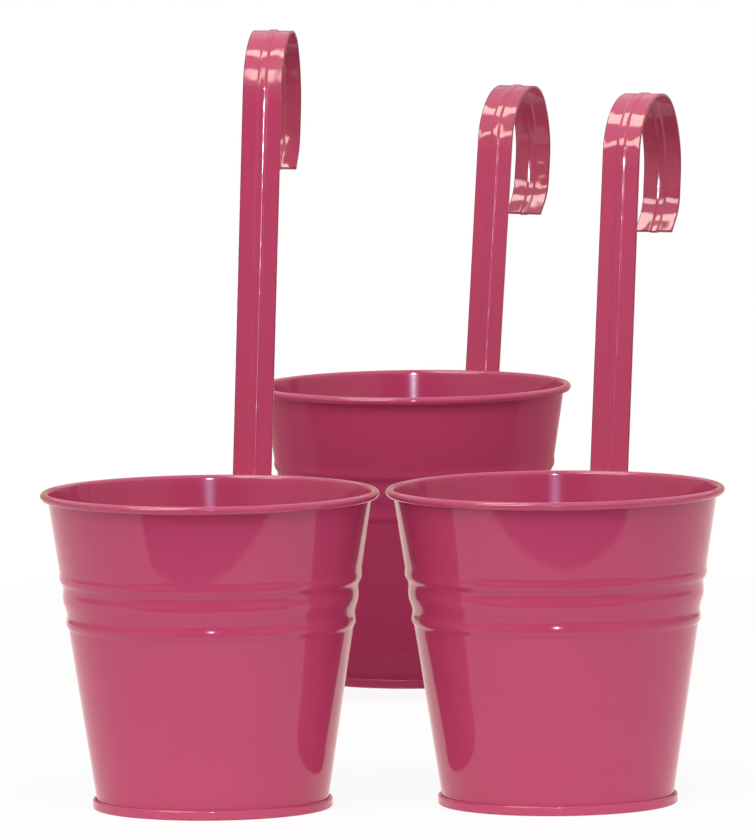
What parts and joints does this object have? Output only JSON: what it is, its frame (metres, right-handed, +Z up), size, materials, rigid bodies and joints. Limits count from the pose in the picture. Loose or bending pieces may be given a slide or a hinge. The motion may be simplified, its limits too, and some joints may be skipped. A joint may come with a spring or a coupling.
{
  "type": "hanging metal planter set",
  "caption": "Tapered round steel pail planters in pink enamel, rolled rim and ribbed band, each with a strap hook that slides in keepers at its back.",
  "frame": {"origin": "on the floor, at the middle of the whole group's footprint", "axes": "+Z up, +Y from the two front planters to the rear one and to the side that the hooks are on, +X to the right seen from the front"},
  "size_m": [0.323, 0.7722, 0.3585],
  "materials": {
    "wall_paint": "gloss",
    "strap_paint": "gloss",
    "base_paint": "gloss",
    "rivet_paint": "gloss"
  },
  "bodies": {
    "left_planter": {"left_pail_wall": "wall_paint", "left_base_pan": "base_paint", "left_upper_keeper": "strap_paint", "left_lower_keeper": "strap_paint", "left_upper_rivets": "rivet_paint", "left_lower_rivets": "rivet_paint"},
    "left_hook": {"left_hook_strap": "strap_paint"},
    "right_planter": {"right_pail_wall": "wall_paint", "right_base_pan": "base_paint", "right_upper_keeper": "strap_paint", "right_lower_keeper": "strap_paint", "right_upper_rivets": "rivet_paint", "right_lower_rivets": "rivet_paint"},
    "right_hook": {"right_hook_strap": "strap_paint"},
    "rear_planter": {"rear_pail_wall": "wall_paint", "rear_base_pan": "base_paint", "rear_upper_keeper": "strap_paint", "rear_lower_keeper": "strap_paint", "rear_upper_rivets": "rivet_paint", "rear_lower_rivets": "rivet_paint"},
    "rear_hook": {"rear_hook_strap": "strap_paint"}
  },
  "joints": [
    {"name": "right_planter_lift", "type": "slide", "parent": "left_planter", "child": "right_planter", "axis": [0, 0, 1], "range_m": [0, 0.36]},
    {"name": "rear_planter_lift", "type": "slide", "parent": "left_planter", "child": "rear_planter", "axis": [0, 0, 1], "range_m": [0, 0.36]},
    {"name": "left_hook_slide", "type": "slide", "parent": "left_planter", "child": "left_hook", "axis": [0.0356, 0.1451, 0.9888], "range_m": [-0.0669, 0]},
    {"name": "right_hook_slide", "type": "slide", "parent": "right_planter", "child": "right_hook", "axis": [0.0489, 0.1412, 0.9888], "range_m": [-0.0349, 0.032]},
    {"name": "rear_hook_slide", "type": "slide", "parent": "rear_planter", "child": "rear_hook", "axis": [0.0652, 0.1344, 0.9888], "range_m": [-0.0014, 0.0655]}
  ]
}
